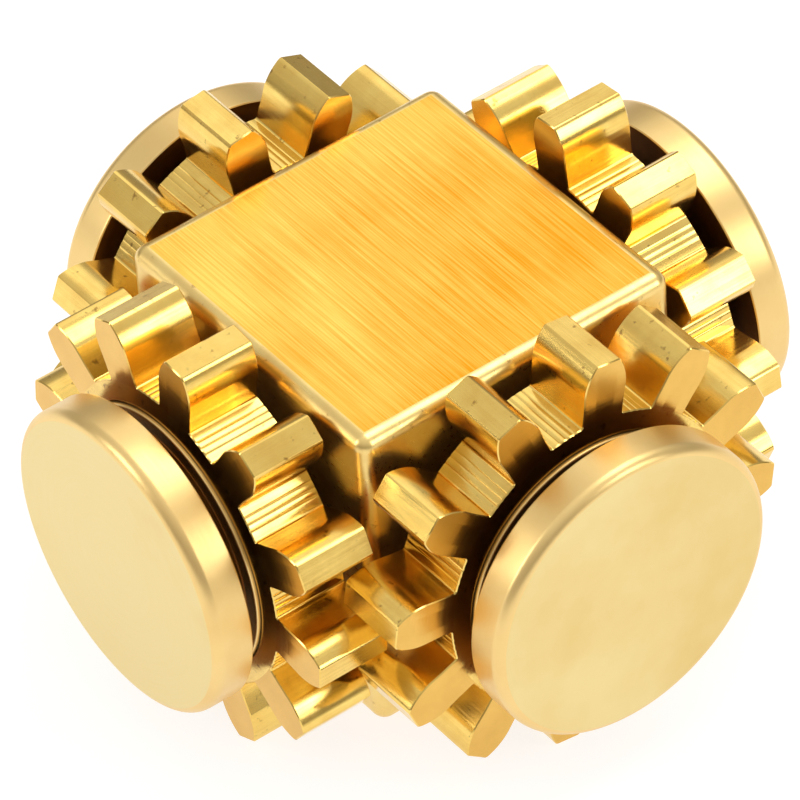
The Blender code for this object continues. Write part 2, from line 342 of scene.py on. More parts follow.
@dataclass(frozen=True)
class MetalFinish:
    """A bare metal surface: its colour, its gloss and the marks that its tool left.

    Attributes:
        name: Name of the material.
        colour: Colour of the clean metal, in sRGB.
        dull_colour: Colour where it has tarnished a little, and the colour that the painted shade
            moves it towards.
        roughness: Gloss of the clean metal.
        lay: Direction of the tool marks.
        spacing: Distance between marks, in millimetres.
        run: Length of one mark, in millimetres.
        depth: Height of the marks, in micrometres.
        mark_roughness: What the marks add to the roughness.
        tarnish: How far the colour moves to the dull one, from 0 to 1.
        patch: Size of a tarnished or handled patch, in millimetres.
        streak: How far the marks themselves move the colour to the dull one, from 0 to 1.
        specks: How strongly small dark spots show, from 0 to 1.
        fade: Painted shade: what each millimetre along the block's X and Y adds to the move towards
            the dull colour.
        mark_range: Noise at the bottom and at the top of a tool mark.
        streak_range: Noise where a mark's streak begins and where it is full.
        patch_range: Noise where a tarnished patch begins and where it is full.
        speck_range: Noise where a dark spot begins and where it is full.
    """

    name: str
    colour: str
    dull_colour: str
    roughness: float
    lay: Lay
    spacing: float
    run: float
    depth: float
    mark_roughness: float = 0.06
    tarnish: float = 0.25
    patch: float = 3.0
    streak: float = 0.0
    specks: float = 0.0
    fade: Point = (0.0, 0.0)
    mark_range: ClassVar[Point] = (0.30, 0.70)
    streak_range: ClassVar[Point] = (0.32, 0.66)
    patch_range: ClassVar[Point] = (0.35, 0.75)
    speck_range: ClassVar[Point] = (0.66, 0.74)

    def marks_vector(self, tree: bpy.types.NodeTree) -> bpy.types.NodeSocket:
        """Lay out the coordinates in which one mark is one unit wide.

        Args:
            tree: The material's tree.

        Returns:
            Output with the pattern's coordinates.
        """
        fine = 1.0 / (self.spacing * MM)
        coarse = 1.0 / (self.run * MM)
        if self.lay is Lay.ALONG_X:
            place = add_node(tree, "ShaderNodeTexCoord").outputs["Object"]
            return add_node(
                tree, "ShaderNodeMapping", {"Vector": place, "Scale": (coarse, fine, fine)}
            ).outputs["Vector"]
        place = add_node(tree, "ShaderNodeAttribute", attribute_name=STOCK).outputs["Vector"]
        if self.lay is Lay.ALONG_AXIS:
            return add_node(
                tree, "ShaderNodeMapping", {"Vector": place, "Scale": (coarse, fine, fine)}
            ).outputs["Vector"]
        across = add_node(
            tree, "ShaderNodeVectorMath", {0: place, 1: (0.0, 1.0, 1.0)}, operation="MULTIPLY"
        ).outputs["Vector"]
        radius = add_node(
            tree, "ShaderNodeVectorMath", {0: across}, operation="LENGTH"
        ).outputs["Value"]
        along = add_node(tree, "ShaderNodeSeparateXYZ", {"Vector": place}).outputs["X"]
        circles = add_node(tree, "ShaderNodeCombineXYZ", {"X": along, "Y": radius}).outputs[0]
        fine_circles = add_node(
            tree, "ShaderNodeVectorMath", {0: circles, "Scale": fine}, operation="SCALE"
        ).outputs["Vector"]
        wander = add_node(
            tree, "ShaderNodeVectorMath", {0: across, "Scale": coarse}, operation="SCALE"
        ).outputs["Vector"]
        return add_node(
            tree, "ShaderNodeVectorMath", {0: fine_circles, 1: wander}, operation="ADD"
        ).outputs["Vector"]

    def tone(
        self, tree: bpy.types.NodeTree, marks: bpy.types.NodeSocket, dulled: bpy.types.NodeSocket,
        place: bpy.types.NodeSocket,
    ) -> bpy.types.NodeSocket:
        """Mix the clean, the dull and the spotted colour, with a painted shade that moves towards the
        dull colour along the block's X and Y.

        Args:
            tree: The material's tree.
            marks: Height of the tool marks, from 0 to 1.
            dulled: How far the metal has tarnished at each point.
            place: Object coordinates.

        Returns:
            Output with the colour.
        """
        low, high = self.streak_range
        streaked = add_node(
            tree, "ShaderNodeMapRange",
            {"Value": marks, "From Min": low, "From Max": high, "To Max": self.streak},
        ).outputs["Result"]
        # painted shade: a slope along the block's X and Y that moves the colour towards the dull one,
        # added to the tarnish
        painted_shade_amount = add_node(
            tree, "ShaderNodeVectorMath",
            {0: place, 1: (self.fade[0] / MM, self.fade[1] / MM, 0.0)}, operation="DOT_PRODUCT",
        ).outputs["Value"]
        tarnish_and_painted_shade = add_node(
            tree, "ShaderNodeMath", {0: dulled, 1: painted_shade_amount}, operation="ADD"
        ).outputs["Value"]
        tarnish_streaks_and_shade = add_node(
            tree, "ShaderNodeMath", {0: tarnish_and_painted_shade, 1: streaked}, operation="ADD", use_clamp=True
        ).outputs["Value"]
        # the Mix node's sockets are numbered: 6 and 7 are its two colours, and output 2 the result
        toned = add_node(
            tree, "ShaderNodeMix",
            {0: tarnish_streaks_and_shade, 6: linear(self.colour), 7: linear(self.dull_colour)}, data_type="RGBA",
        ).outputs[2]
        spots = add_node(
            tree, "ShaderNodeTexNoise",
            {"Vector": place, "Scale": 1.0 / (SPECK_SIZE * MM), "Detail": 3.0, "Roughness": 0.5},
        ).outputs["Fac"]
        low, high = self.speck_range
        spotted = add_node(
            tree, "ShaderNodeMapRange",
            {"Value": spots, "From Min": low, "From Max": high, "To Max": self.specks},
        ).outputs["Result"]
        return add_node(
            tree, "ShaderNodeMix", {0: spotted, 6: toned, 7: linear(SPECK_COLOUR)},
            data_type="RGBA",
        ).outputs[2]

    def gloss(
        self, tree: bpy.types.NodeTree, marks: bpy.types.NodeSocket, dulled: bpy.types.NodeSocket
    ) -> bpy.types.NodeSocket:
        """Work out the roughness, which the marks and the tarnish raise.

        Args:
            tree: The material's tree.
            marks: Height of the tool marks, from 0 to 1.
            dulled: How far the metal has tarnished at each point.

        Returns:
            Output with the roughness.
        """
        low, high = self.mark_range
        marked = add_node(
            tree, "ShaderNodeMapRange",
            {"Value": marks, "From Min": low, "From Max": high,
             "To Min": self.roughness - self.mark_roughness / 2,
             "To Max": self.roughness + self.mark_roughness},
        ).outputs["Result"]
        return add_node(
            tree, "ShaderNodeMath", {0: dulled, 1: TARNISH_ROUGHNESS, 2: marked},
            operation="MULTIPLY_ADD",
        ).outputs["Value"]

    def make(self) -> bpy.types.Material:
        """Build the material once, and return it again on later calls.

        Returns:
            The material with its node tree.
        """
        made = bpy.data.materials.get(self.name)
        if made:
            return made
        material = bpy.data.materials.new(self.name)
        material.use_nodes = True
        tree = material.node_tree
        marks = add_node(
            tree, "ShaderNodeTexNoise",
            {"Vector": self.marks_vector(tree), "Scale": 1.0, "Detail": 3.0, "Roughness": 0.6},
        ).outputs["Fac"]
        place = add_node(tree, "ShaderNodeTexCoord").outputs["Object"]
        patches = add_node(
            tree, "ShaderNodeTexNoise",
            {"Vector": place, "Scale": 1.0 / (self.patch * MM), "Detail": 4.0, "Roughness": 0.55},
        ).outputs["Fac"]
        low, high = self.patch_range
        dulled = add_node(
            tree, "ShaderNodeMapRange",
            {"Value": patches, "From Min": low, "From Max": high, "To Max": self.tarnish},
        ).outputs["Result"]
        bump = add_node(
            tree, "ShaderNodeBump",
            {"Height": marks, "Strength": 1.0, "Distance": self.depth * MM * MM},
        )
        shader = tree.nodes["Principled BSDF"]
        shader.inputs["Metallic"].default_value = 1.0
        tree.links.new(self.tone(tree, marks, dulled, place), shader.inputs["Base Color"])
        tree.links.new(self.gloss(tree, marks, dulled), shader.inputs["Roughness"])
        tree.links.new(bump.outputs["Normal"], shader.inputs["Normal"])
        return material


def dress(item: bpy.types.Object, *finishes: MetalFinish) -> None:
    """Give an object its finishes.

    Args:
        item: The object, which loses the materials that it had.
        *finishes: The finishes, in the order of its material slots.
    """
    item.data.materials.clear()
    for finish in finishes:
        item.data.materials.append(finish.make())


# Free-cutting brass, ground flat and then brushed one way on a belt.  The long straight strokes
# smear reflections across themselves and leave warm streaks; they are drawn about twice as wide as
# a real 0.05 mm stroke, so that they show.  A painted shade darkens the top towards +X and +Y.
BRUSHED_BRASS = MetalFinish(
    "brushed_brass", "#FFDA6C", "#F6A01A", 0.31, Lay.ALONG_X,
    spacing=0.11, run=8.0, depth=3.0, mark_roughness=0.08, tarnish=0.55, patch=11.0, streak=0.65,
    fade=(0.014, 0.014),
)
# The same brass, buffed on the block's sides and edge fillets: clear, slightly wavy reflections.
BUFFED_BRASS = MetalFinish(
    "buffed_brass", "#F5D88C", "#C9903C", 0.28, Lay.ALONG_X,
    spacing=0.30, run=2.5, depth=0.8, mark_roughness=0.06, tarnish=0.35, patch=2.2, specks=0.5,
)
# Tooth flanks cut by a broaching tool that slid along the axis: bright, with faint streaks.
BROACHED_BRASS = MetalFinish(
    "broached_brass", "#F7D67A", "#D09838", 0.15, Lay.ALONG_AXIS,
    spacing=0.16, run=5.0, depth=0.9, mark_roughness=0.07, tarnish=0.35, patch=1.8, streak=0.15,
    specks=0.6,
)
# Gear faces cut square on a lathe: glossy, with very fine circles; their deeper colour is painted
# shade, for the dark gap between gear and pad.
FACED_SHADED_BRASS = MetalFinish(
    "faced_shaded_brass", "#E8BA60", "#B88432", 0.19, Lay.ROUND_AXIS,
    spacing=0.12, run=6.0, depth=0.5, mark_roughness=0.06, tarnish=0.25, patch=2.4,
)
# Finger pads blasted with fine beads after turning: an even, pale satin with no clear reflection; a
# painted shade darkens the pads towards +Y.
SATIN_BRASS = MetalFinish(
    "satin_brass", "#E8D294", "#D8B056", 0.33, Lay.ROUND_AXIS,
    spacing=0.20, run=3.0, depth=0.3, mark_roughness=0.03, tarnish=0.45, patch=7.0,
    fade=(0.0, 0.018),
)
# Rims of the pads, rings and washers as the lathe left them: soft bands that follow the turning.
TURNED_BRASS = MetalFinish(
    "turned_brass", "#F0D08C", "#D8A95A", 0.34, Lay.ROUND_AXIS,
    spacing=0.12, run=30.0, depth=0.35, mark_roughness=0.03, tarnish=0.30, patch=3.5,
)
# Backs and stems of the pads, never polished; their dark brown is painted shade, for the shadow
# between pad and gear.
BACK_SHADE_BRASS = MetalFinish(
    "painted_shade_back_brass", "#8A5E26", "#4E3114", 0.30, Lay.ROUND_AXIS,
    spacing=0.16, run=6.0, depth=0.6, mark_roughness=0.05, tarnish=0.60, patch=2.0,
)
# Hardened chrome steel, ground on the races: cool grey and glossy.
GROUND_STEEL = MetalFinish(
    "ground_chrome_steel", "#C9CCD0", "#9FA3A8", 0.16, Lay.ROUND_AXIS,
    spacing=0.08, run=6.0, depth=0.4, tarnish=0.2, patch=2.0,
)
# Lapped chrome-steel balls: almost perfect mirrors.
LAPPED_STEEL = MetalFinish(
    "lapped_chrome_steel", "#D4D6D9", "#B4B7BA", 0.05, Lay.ROUND_AXIS,
    spacing=0.3, run=1.0, depth=0.05, mark_roughness=0.02, tarnish=0.1, patch=1.0,
)
# Cage pressed from mild steel strip and tumbled: darker and duller than the races.
TUMBLED_STEEL = MetalFinish(
    "tumbled_cage_steel", "#A3A4A6", "#75767A", 0.32, Lay.ROUND_AXIS,
    spacing=0.25, run=0.6, depth=1.0, tarnish=0.4, patch=1.2,
)
# Alloy steel studs with a black oxide coat: dark, oily and faintly blue.
BLACKENED_STEEL = MetalFinish(
    "black_oxide_steel", "#3A3C40", "#26272A", 0.36, Lay.ROUND_AXIS,
    spacing=0.12, run=2.0, depth=0.8, tarnish=0.5, patch=1.5,
)


# ---------------------------------------------------------------- geometry-node trees


class PieceTree(ABC):
    """A geometry-node tree with named inputs that makes a piece inside an object."""

    def __init__(self, name: str, inputs: dict[str, str]) -> None:
        """Build the tree.

        Args:
            name: Name of the tree.
            inputs: Socket type of each named input.
        """
        self.tree = bpy.data.node_groups.new(name, "GeometryNodeTree")
        panel = self.tree.interface
        self.sockets = {}
        for label, kind in inputs.items():
            socket = panel.new_socket(label, in_out="INPUT", socket_type="NodeSocket" + kind)
            self.sockets[label] = socket.identifier
        panel.new_socket("Piece", in_out="OUTPUT", socket_type="NodeSocketGeometry")
        given = add_node(self.tree, "NodeGroupInput").outputs
        add_node(self.tree, "NodeGroupOutput", {"Piece": self.wire(self.tree, given)})

    @abstractmethod
    def wire(self, tree: bpy.types.NodeTree, given: bpy.types.NodeOutputs) -> bpy.types.NodeSocket:
        """Add the tree's nodes between the given inputs and the returned output."""

    def apply(self, item: bpy.types.Object, values: dict[str, Any]) -> None:
        """Run the tree on an object and turn the result into a plain mesh.

        Args:
            item: The object, whose own mesh is the tree's geometry input.
            values: Value of each named input.
        """
        modifier = item.modifiers.new(self.tree.name, "NODES")
        modifier.node_group = self.tree
        for label, value in values.items():
            modifier[self.sockets[label]] = value
        settle(item)


class SectorPattern(PieceTree):
    """Repeats one sector, centred on the Y direction, round the X axis and welds the copies."""

    def __init__(self) -> None:
        """Build the tree."""
        super().__init__("sector_pattern", {
            "Sector": "Geometry", "Count": "Int", "Weld Distance": "Float",
            "Finish": "Material", "Face Finish": "Material",
        })

    def wire(self, tree: bpy.types.NodeTree, given: bpy.types.NodeOutputs) -> bpy.types.NodeSocket:
        """Add the nodes: points, one copy on each, weld, then the two finishes.

        Args:
            tree: The tree.
            given: Its inputs.

        Returns:
            Output with the piece, whose faces marked as faced have the second finish.
        """
        points = add_node(tree, "GeometryNodePoints", {"Count": given["Count"]})
        index = add_node(tree, "GeometryNodeInputIndex")
        step = add_node(
            tree, "ShaderNodeMath", {0: math.tau, 1: given["Count"]}, operation="DIVIDE"
        )
        angle = add_node(
            tree, "ShaderNodeMath", {0: index.outputs[0], 1: step.outputs[0]},
            operation="MULTIPLY",
        )
        rotation = add_node(tree, "ShaderNodeCombineXYZ", {"X": angle.outputs[0]})
        copies = add_node(
            tree, "GeometryNodeInstanceOnPoints",
            {"Points": points.outputs[0], "Instance": given["Sector"],
             "Rotation": rotation.outputs[0]},
        )
        real = add_node(tree, "GeometryNodeRealizeInstances", {"Geometry": copies.outputs[0]})
        welded = add_node(
            tree, "GeometryNodeMergeByDistance",
            {"Geometry": real.outputs[0], "Distance": given["Weld Distance"]},
        )
        dressed = add_node(
            tree, "GeometryNodeSetMaterial",
            {"Geometry": welded.outputs[0], "Material": given["Finish"]},
        )
        faced = add_node(
            tree, "GeometryNodeInputNamedAttribute", {"Name": FACED}, data_type="BOOLEAN"
        )
        return add_node(
            tree, "GeometryNodeSetMaterial",
            {"Geometry": dressed.outputs[0], "Selection": faced.outputs["Attribute"],
             "Material": given["Face Finish"]},
        ).outputs[0]


class BallRing(PieceTree):
    """Sets balls on a circle round the X axis."""

    def __init__(self) -> None:
        """Build the tree."""
        super().__init__("ball_ring", {
            "Balls": "Int", "Circle Radius": "Float", "Ball Radius": "Float", "Along": "Float",
            "Finish": "Material",
        })

    def wire(self, tree: bpy.types.NodeTree, given: bpy.types.NodeOutputs) -> bpy.types.NodeSocket:
        """Add the nodes: a circle turned upright, one ball on each point, then the finish.

        Args:
            tree: The tree.
            given: Its inputs.

        Returns:
            Output with the balls.
        """
        circle = add_node(
            tree, "GeometryNodeMeshCircle",
            {"Vertices": given["Balls"], "Radius": given["Circle Radius"]},
        )
        shift = add_node(tree, "ShaderNodeCombineXYZ", {"X": given["Along"]})
        upright = add_node(
            tree, "GeometryNodeTransform",
            {"Geometry": circle.outputs[0], "Translation": shift.outputs[0],
             "Rotation": (0.0, math.radians(90.0), 0.0)},
        )
        ball = add_node(
            tree, "GeometryNodeMeshIcoSphere", {"Radius": given["Ball Radius"], "Subdivisions": 3}
        )
        copies = add_node(
            tree, "GeometryNodeInstanceOnPoints",
            {"Points": upright.outputs[0], "Instance": ball.outputs["Mesh"]},
        )
        real = add_node(tree, "GeometryNodeRealizeInstances", {"Geometry": copies.outputs[0]})
        smooth = add_node(tree, "GeometryNodeSetShadeSmooth", {"Geometry": real.outputs[0]})
        return add_node(
            tree, "GeometryNodeSetMaterial",
            {"Geometry": smooth.outputs[0], "Material": given["Finish"]},
        ).outputs[0]


# ---------------------------------------------------------------- the pieces


@dataclass
class CentreBlock:
    """The brass block in the middle, with a drilled hole for a stud in each side."""

    half: float = Span.of_node("centre_block").end
    fillet: float = 0.8
    fillet_steps: int = 8
    hole_radius: float = 1.8
    hole_floor: float = 5.0
    countersink: float = 0.3
    level: float = 0.9999
    segments: int = 48

    def hole(self) -> bpy.types.Mesh:
        """Make what is drilled out of one side.

        Returns:
            A closed cutter along the X axis.
        """
        mouth = self.half + self.countersink
        drill_point = self.hole_floor - self.hole_radius / math.sqrt(3)
        return turned(
            "hole",
            [
                (drill_point, 0.0),
                (self.hole_floor, self.hole_radius),
                (self.half - self.countersink, self.hole_radius),
                (mouth, self.hole_radius + 2 * self.countersink),
                (mouth, 0.0),
            ],
            self.segments, closed=False,
        )

    def build(self) -> None:
        """Make the block, dress it and give it to the frame."""
        shape = bmesh.new()
        bmesh.ops.create_cube(shape, size=2 * self.half)
        bmesh.ops.bevel(
            shape, geom=shape.edges[:], offset=self.fillet, offset_type="OFFSET",
            segments=self.fillet_steps, profile=0.5, affect="EDGES",
        )
        block = add_object("block", mesh_in_metres(shape, "block"))
        for side in Side:
            cutter = self.hole()
            cutter.transform(side.facing)
            cut(block, cutter)
        even_shading(block)
        dress(block, BUFFED_BRASS, BRUSHED_BRASS)
        top = OUTERMOST * self.half * MM
        for face in block.data.polygons:
            brushed = abs(face.normal.z) > self.level and abs(face.center.z) > top
            face.material_index = 1 if brushed else 0
        # the east side's rotation is none, so the block stays as it is
        hand_over(block, Side.EAST, "centre_block", "frame")


class SidePiece(ABC):
    """A piece that each side of the block carries once.

    Attributes:
        piece: Its name in the finished model, before the side's.
        node: Name of the node that it stands for, before the side's.
        slot: Name of a material slot; nothing in this script reads it.
        on_gear: Whether it turns with the gear.
    """

    piece: ClassVar[str]
    node: ClassVar[str]
    slot: ClassVar[str]
    on_gear: ClassVar[bool] = False

    @abstractmethod
    def make(self, name: str) -> bpy.types.Object:
        """Make and dress the piece as it lies along the X axis."""

    def turn(self, side: Side) -> float:
        """Degrees that the piece stands turned about its own axis on a side."""
        return 0.0

    def build(self, side: Side) -> None:
        """Make one side's piece and give it to the frame.

        Args:
            side: Side of the block.
        """
        item = self.make(f"{self.piece}_{side.label}")
        body = side.label + "_gear" if self.on_gear else "frame"
        hand_over(item, side, f"{self.node}_{side.label}", body, self.turn(side))


class TurnedPiece(SidePiece):
    """A piece that the lathe makes whole.

    Attributes:
        finishes: Its finishes, the one that covers it all first.
        closed: Whether its profile is a ring, which leaves a hole on the axis.
        segments: Steps in a full turn.
    """

    finishes: ClassVar[tuple[MetalFinish, ...]] = (TURNED_BRASS,)
    closed: ClassVar[bool] = True
    segments: int

    @abstractmethod
    def profile(self) -> list[Point]:
        """Work out the piece's outline as points (along, radius)."""

    def make(self, name: str) -> bpy.types.Object:
        """Turn the piece and give it its finishes.

        Args:
            name: Name of the piece.

        Returns:
            The dressed piece.
        """
        item = add_object(name, turned(name, self.profile(), self.segments, self.closed))
        even_shading(item)
        dress(item, *self.finishes)
        return item


@dataclass
class Gear(SidePiece):
    """A toothed ring with a lip, a bearing seat and a recess for the retaining ring in a low cone.

    One sector is one tooth with half of the root land on either side.
    """

    piece = "toothed_wheel"
    node = "gear"
    slot = "gear_brass"
    on_gear = True

    pattern: SectorPattern
    teeth: int = 12
    span: Span = Span.of_node("gear_east")
    boss_height: float = 0.2
    mesh_depth: float = 1.6
    root_clearance: float = 2.0
    backlash: float = 0.15
    tip_land: float = 1.48
    shoulder_drop: float = 0.2
    waist_cut: float = 0.05
    root_fillet: float = 0.14
    boss_inset: float = 0.1
    boss_rise: float = 0.85
    lip: float = 0.4
    lip_radius: float = 5.475
    seat_radius: float = 6.65
    recess_radius: float = 7.68
    recess_depth: float = 0.475
    edge_break: float = 0.06
    corner_limit: float = 0.5
    flank_steps: int = 9
    root_steps: int = 5
    groove_places: tuple[float, ...] = (0.0, 0.42)
    groove_half_width: float = 0.10
    groove_depth: float = 0.032
    rest_turn: float = -8.75

    @property
    def tip_radius(self) -> float:
        """Radius of the tooth tips."""
        return self.span.start + self.mesh_depth

    @property
    def root_radius(self) -> float:
        """Radius of the land between teeth."""
        return self.span.start - self.root_clearance

    def flank(self) -> list[Point]:
        """Work out one flank from the tip to the root land.

        Returns:
            Points as (out from the axis, half thickness).
        """
        tooth_half = math.pi * self.span.start / (2 * self.teeth) - self.backlash / 2
        tip_half = self.tip_land / 2
        shoulder = self.span.start - self.shoulder_drop
        tip_out = math.sqrt(self.tip_radius**2 - tip_half**2)
        rise = tip_out - shoulder
        taper = tooth_half - tip_half
        radius = (rise**2 + taper**2) / (2 * taper)
        sweep = math.degrees(math.asin(rise / radius))
        curve = arc((shoulder, tooth_half - radius), radius, 90.0 - sweep, 90.0, self.flank_steps)
        broken = self.edge_break / rise
        tip = [
            (tip_out, tip_half - self.edge_break),
            (tip_out - self.edge_break,
             curve[0][1] + (curve[1][1] - curve[0][1]) * broken * self.flank_steps),
        ]
        waist = tooth_half - self.waist_cut
        foot = math.sqrt(self.root_radius**2 - (waist + self.root_fillet) ** 2)
        corner = (foot + self.root_fillet, waist + self.root_fillet)
        hollow = arc(corner, self.root_fillet, 270.0, 180.0, self.root_steps)
        waist_point = ((self.root_radius + shoulder) / 2, waist)
        return tip + curve[1:] + [waist_point] + hollow

    def root_land(self) -> list[Point]:
        """Work out half of the root land, with the fine grooves that the cutter left.

        Returns:
            Points as (radius, angle), from the foot of the tooth to the middle of the gap.
        """
        middle = math.pi / self.teeth
        marks = []
        for place in sorted(self.groove_places, reverse=True):
            marks.append((self.root_radius, place + self.groove_half_width))
            marks.append((self.root_radius - self.groove_depth, place))
            if place > 0.0:
                marks.append((self.root_radius, place - self.groove_half_width))
        return [(radius, middle - aside / self.root_radius) for radius, aside in marks]

    def outline(self) -> list[Point]:
        """Work out the outline of one sector.

        Returns:
            Points as (radius, angle), with the angle growing from the middle of one gap to the
            middle of the next.
        """
        half = [(math.hypot(out, aside), math.atan2(aside, out)) for out, aside in self.flank()]
        half += self.root_land()
        return [(radius, -angle) for radius, angle in reversed(half)] + half

    def inset(self, outline: list[Point]) -> list[Point]:
        """Move an outline into the metal by the width of the broken edge.

        Args:
            outline: Points as (radius, angle) of one sector.

        Returns:
            The moved points, as (radius, angle).
        """
        pitch = math.tau / self.teeth
        before = (outline[-2][0], outline[-2][1] - pitch)
        after = (outline[1][0], outline[1][1] + pitch)
        flat = [
            Vector((radius * math.cos(angle), radius * math.sin(angle)))
            for radius, angle in [before, *outline, after]
        ]
        moved = []
        for last, here, following in zip(flat, flat[1:], flat[2:]):
            one = (here - last).normalized()
            two = (following - here).normalized()
            outward = Vector((one.y + two.y, -one.x - two.x)).normalized()
            stretch = self.edge_break / max(self.corner_limit, outward.dot(Vector((one.y, -one.x))))
            point = here - outward * stretch
            moved.append((point.length, math.atan2(point.y, point.x)))
        middle = math.pi / self.teeth
        moved[0] = (moved[0][0], -middle)
        moved[-1] = (moved[-1][0], middle)
        return moved

    def sector(self) -> bpy.types.Mesh:
        """Make one sector as strips between rings that share the outline's angles.

        Returns:
            The open sector mesh, with its square-cut faces marked.
        """
        edge = self.edge_break
        inner, top = self.span.start, self.span.end
        outer = top - self.boss_height
        floor = outer - self.recess_depth
        boss = self.root_radius - self.boss_inset
        outline = self.outline()
        shrunk = self.inset(outline)
        rings = [
            (inner, self.lip_radius + edge), (inner, shrunk), (inner + edge, outline),
            (outer - edge, outline), (outer, shrunk), (outer, boss),
            (top - edge, boss - self.boss_rise), (top - edge, self.recess_radius),
            (floor, self.recess_radius),
            (floor, self.seat_radius + edge), (floor - edge, self.seat_radius),
            (inner + self.lip, self.seat_radius), (inner + self.lip, self.lip_radius),
            (inner + edge, self.lip_radius),
        ]
        shape = bmesh.new()
        loops = []
        for along, radii in rings:
            points = radii if isinstance(radii, list) else [(radii, a) for _, a in outline]
            loops.append([
                shape.verts.new((along, radius * math.cos(angle), radius * math.sin(angle)))
                for radius, angle in points
            ])
        for one, two in zip(loops, loops[1:] + loops[:1]):
            for here, there in zip(range(len(outline)), range(1, len(outline))):
                shape.faces.new((one[here], one[there], two[there], two[here]))
        shape.normal_update()
        faced = shape.faces.layers.bool.new(FACED)
        for face in shape.faces:
            face[faced] = abs(face.normal.x) > SQUARE
        return mesh_in_metres(shape, "tooth_sector")

    def make(self, name: str) -> bpy.types.Object:
        """Repeat the sector into a whole gear.

        Args:
            name: Name of the gear.

        Returns:
            The dressed gear.
        """
        gear = add_object(name, self.sector())
        self.pattern.apply(gear, {
            "Count": self.teeth, "Weld Distance": WELD,
            "Finish": BROACHED_BRASS.make(), "Face Finish": FACED_SHADED_BRASS.make(),
        })
        even_shading(gear)
        return gear

    def turn(self, side: Side) -> float:
        """Degrees that a side's gear stands turned at rest, so that all four are in mesh."""
        return self.rest_turn if side.value % 2 == 0 else 180.0 / self.teeth - self.rest_turn


@dataclass
class RetainingRing(TurnedPiece):
    """The flat brass ring that keeps the outer race in its seat."""

    piece = "keeper_ring"
    node = "retaining_ring"
    slot = "gear_brass"
    on_gear = True

    span: Span = Span.of_node("retaining_ring_east")
    hole_radius: float = 5.475
    outer_radius: float = 7.58
    edge_break: float = 0.1
    outer_round: float = 0.14
    groove_radius: float = 6.75
    groove_width: float = 0.16
    groove_depth: float = 0.08
    round_steps: int = 8
    segments: int = 128

    def profile(self) -> list[Point]:
        """Work out the ring's outline, with the fine groove in its face.

        Returns:
            Points as (along, radius).
        """
        start, end, edge = self.span.start, self.span.end, self.edge_break
        half, outer = self.groove_width / 2, self.outer_round
        return [
            (start, self.hole_radius),
            (start, self.outer_radius),
            *arc((end - outer, self.outer_radius - outer), outer, 90.0, 0.0, self.round_steps),
            (end, self.groove_radius + half),
            (end - self.groove_depth, self.groove_radius),
            (end, self.groove_radius - half),
            (end, self.hole_radius + edge),
            (end - edge, self.hole_radius),
        ]


